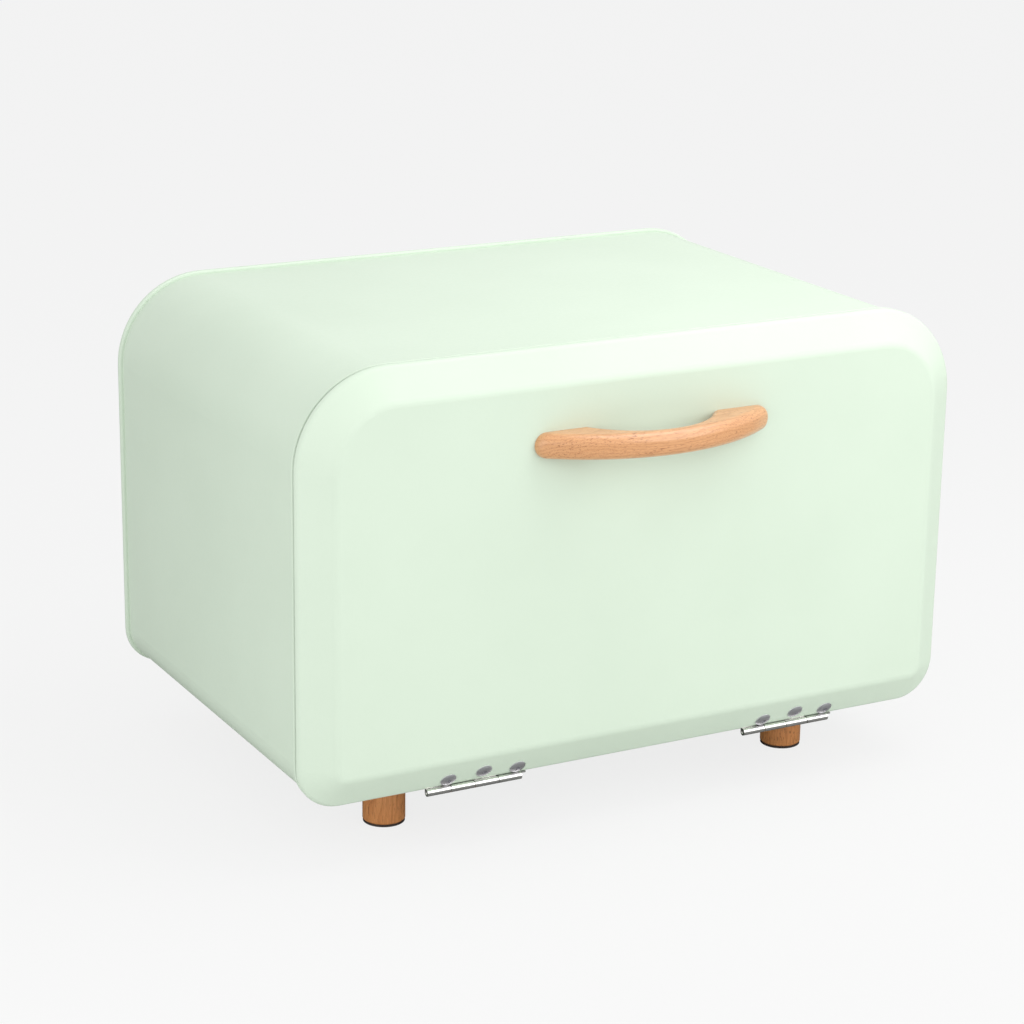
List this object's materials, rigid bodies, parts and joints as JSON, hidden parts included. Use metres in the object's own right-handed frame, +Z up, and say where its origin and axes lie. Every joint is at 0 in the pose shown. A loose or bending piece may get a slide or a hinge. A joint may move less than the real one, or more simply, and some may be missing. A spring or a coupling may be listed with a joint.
{
  "type": "bread bin",
  "caption": "Sheet-steel bread bin with rounded edges, a drop-down door on riveted butt hinges, a wooden bow pull and wooden peg feet.",
  "frame": {"origin": "on the worktop, under the middle of the whole object's box", "axes": "+Z up, +Y to the back, +X to the right of someone facing the door, which is at -Y"},
  "size_m": [0.352, 0.2546, 0.235],
  "materials": {
    "mint_powder_coat": "smooth satin powder coat on steel sheet",
    "pull_beech": "oiled light beech",
    "foot_beech": "varnished beech, darker and redder than the pull",
    "foot_pad_rubber": "dark non-slip pad",
    "hinge_steel": "bright nickel plate",
    "rivet_aluminium": "plain blind rivets",
    "fastener_steel": "zinc-plated steel",
    "catch_plastic": "moulded off-white plastic",
    "catch_ferrite": "dark sintered ferrite"
  },
  "bodies": {
    "case": {"case_shell": "mint_powder_coat", "back_panel": "mint_powder_coat", "case_hinge_rivets": "rivet_aluminium", "case_rivet_stems": "fastener_steel", "foot_screws": "fastener_steel", "foot_washers": "fastener_steel", "catch_plate": "mint_powder_coat", "catch_housing": "catch_plastic", "catch_magnet": "catch_ferrite", "catch_poles": "fastener_steel", "catch_nuts": "fastener_steel", "foot_front_left": "foot_beech", "foot_front_right": "foot_beech", "foot_rear_left": "foot_beech", "foot_rear_right": "foot_beech", "foot_pad_front_left": "foot_pad_rubber", "foot_pad_front_right": "foot_pad_rubber", "foot_pad_rear_left": "foot_pad_rubber", "foot_pad_rear_right": "foot_pad_rubber", "hinge_left_case_leaf": "hinge_steel", "hinge_right_case_leaf": "hinge_steel", "hinge_left_pin": "hinge_steel", "hinge_right_pin": "hinge_steel"},
    "door": {"door_panel": "mint_powder_coat", "handle": "pull_beech", "handle_screws": "fastener_steel", "handle_washers": "fastener_steel", "door_hinge_rivets": "rivet_aluminium", "door_rivet_stems": "fastener_steel", "hinge_left_door_leaf": "hinge_steel", "hinge_right_door_leaf": "hinge_steel"}
  },
  "joints": [
    {"name": "door_hinge", "type": "hinge", "parent": "case", "child": "door", "pos_m": [0, -0.09395, 0.02888], "axis": [1, 0, 0], "range_deg": [0, 88]}
  ]
}
